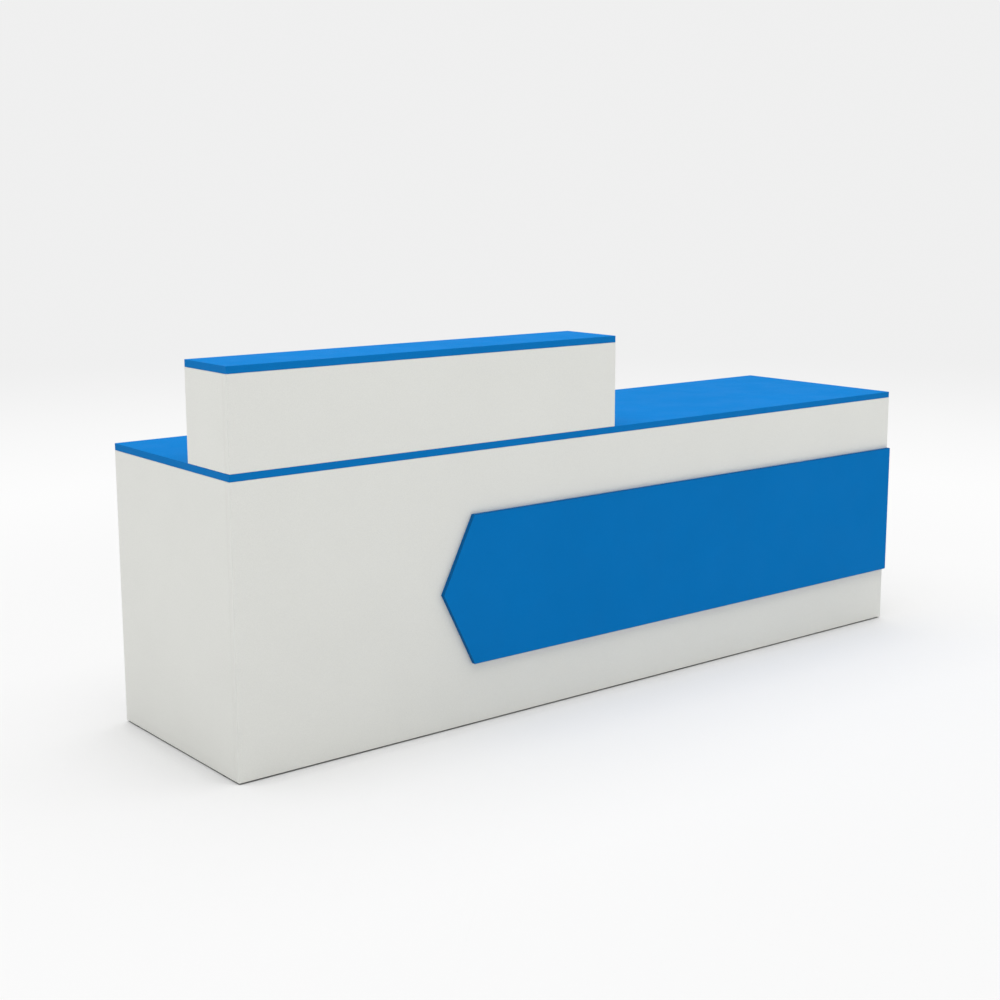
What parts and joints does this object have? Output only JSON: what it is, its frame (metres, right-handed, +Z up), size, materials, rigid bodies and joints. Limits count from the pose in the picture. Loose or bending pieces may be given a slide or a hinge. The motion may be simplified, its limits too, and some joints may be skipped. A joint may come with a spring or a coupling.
{
  "type": "reception desk",
  "caption": "Box-shaped laminate reception desk with a raised visitor counter at the left, an arrow-ended accent panel on the front and a drawer pedestal on the staff side.",
  "frame": {"origin": "on the floor, under the middle of the overall footprint", "axes": "+Z up; +X along the desk, to the right as a visitor sees it; -Y towards the visitor, so staff sit on the +Y side"},
  "size_m": [2.4, 0.6122, 1],
  "materials": {
    "white_laminate": "warm white satin melamine on chipboard, with matching edge band",
    "blue_laminate": "bright blue satin laminate, with matching edge band",
    "drawer_board": "pale grey melamine on thin board",
    "zinc_steel": "zinc-plated rolled steel",
    "handle_steel": "brushed stainless steel",
    "black_plastic": "fine-textured black moulded plastic"
  },
  "bodies": {
    "desk": {"worktop": "blue_laminate", "front_panel": "white_laminate", "accent_panel": "blue_laminate", "left_end_panel": "white_laminate", "right_end_panel": "white_laminate", "pedestal_left_panel": "white_laminate", "pedestal_right_panel": "white_laminate", "pedestal_floor": "white_laminate", "kneehole_rail": "white_laminate", "side_bay_rail": "white_laminate", "counter_front_panel": "white_laminate", "counter_top": "blue_laminate", "counter_left_end": "white_laminate", "counter_divider": "white_laminate", "counter_right_end": "white_laminate", "grommet_liner": "black_plastic", "top_drawer_left_rail": "zinc_steel", "top_drawer_right_rail": "zinc_steel", "middle_drawer_left_rail": "zinc_steel", "middle_drawer_right_rail": "zinc_steel", "file_drawer_left_rail": "zinc_steel", "file_drawer_right_rail": "zinc_steel"},
    "top_drawer": {"top_drawer_front": "white_laminate", "top_drawer_handle": "handle_steel", "top_drawer_left_side": "drawer_board", "top_drawer_right_side": "drawer_board", "top_drawer_back": "drawer_board", "top_drawer_bottom": "drawer_board", "top_drawer_left_runner": "zinc_steel", "top_drawer_right_runner": "zinc_steel"},
    "middle_drawer": {"middle_drawer_front": "white_laminate", "middle_drawer_handle": "handle_steel", "middle_drawer_left_side": "drawer_board", "middle_drawer_right_side": "drawer_board", "middle_drawer_back": "drawer_board", "middle_drawer_bottom": "drawer_board", "middle_drawer_left_runner": "zinc_steel", "middle_drawer_right_runner": "zinc_steel"},
    "file_drawer": {"file_drawer_front": "white_laminate", "file_drawer_handle": "handle_steel", "file_drawer_left_side": "drawer_board", "file_drawer_right_side": "drawer_board", "file_drawer_back": "drawer_board", "file_drawer_bottom": "drawer_board", "file_drawer_left_runner": "zinc_steel", "file_drawer_right_runner": "zinc_steel"},
    "grommet_cap": {"grommet_cap": "black_plastic"},
    "left_end_front_foot": {"left_end_front_foot": "black_plastic"},
    "left_end_rear_foot": {"left_end_rear_foot": "black_plastic"},
    "right_end_front_foot": {"right_end_front_foot": "black_plastic"},
    "right_end_rear_foot": {"right_end_rear_foot": "black_plastic"},
    "pedestal_left_front_foot": {"pedestal_left_front_foot": "black_plastic"},
    "pedestal_left_rear_foot": {"pedestal_left_rear_foot": "black_plastic"},
    "pedestal_right_front_foot": {"pedestal_right_front_foot": "black_plastic"},
    "pedestal_right_rear_foot": {"pedestal_right_rear_foot": "black_plastic"}
  },
  "joints": [
    {"name": "top_drawer_slide", "type": "slide", "parent": "desk", "child": "top_drawer", "axis": [0, 1, 0], "range_m": [0, 0.34]},
    {"name": "middle_drawer_slide", "type": "slide", "parent": "desk", "child": "middle_drawer", "axis": [0, 1, 0], "range_m": [0, 0.34]},
    {"name": "file_drawer_slide", "type": "slide", "parent": "desk", "child": "file_drawer", "axis": [0, 1, 0], "range_m": [0, 0.34]},
    {"name": "grommet_cap_turn", "type": "hinge", "parent": "desk", "child": "grommet_cap", "pos_m": [-0.88, -0.02385, 0.75], "axis": [0, 0, 1], "continuous": true},
    {"name": "left_end_front_foot_screw", "type": "slide", "parent": "desk", "child": "left_end_front_foot", "axis": [0, 0, -1], "range_m": [0, 0.01]},
    {"name": "left_end_rear_foot_screw", "type": "slide", "parent": "desk", "child": "left_end_rear_foot", "axis": [0, 0, -1], "range_m": [0, 0.01]},
    {"name": "right_end_front_foot_screw", "type": "slide", "parent": "desk", "child": "right_end_front_foot", "axis": [0, 0, -1], "range_m": [0, 0.01]},
    {"name": "right_end_rear_foot_screw", "type": "slide", "parent": "desk", "child": "right_end_rear_foot", "axis": [0, 0, -1], "range_m": [0, 0.01]},
    {"name": "pedestal_left_front_foot_screw", "type": "slide", "parent": "desk", "child": "pedestal_left_front_foot", "axis": [0, 0, -1], "range_m": [0, 0.01]},
    {"name": "pedestal_left_rear_foot_screw", "type": "slide", "parent": "desk", "child": "pedestal_left_rear_foot", "axis": [0, 0, -1], "range_m": [0, 0.01]},
    {"name": "pedestal_right_front_foot_screw", "type": "slide", "parent": "desk", "child": "pedestal_right_front_foot", "axis": [0, 0, -1], "range_m": [0, 0.01]},
    {"name": "pedestal_right_rear_foot_screw", "type": "slide", "parent": "desk", "child": "pedestal_right_rear_foot", "axis": [0, 0, -1], "range_m": [0, 0.01]}
  ]
}
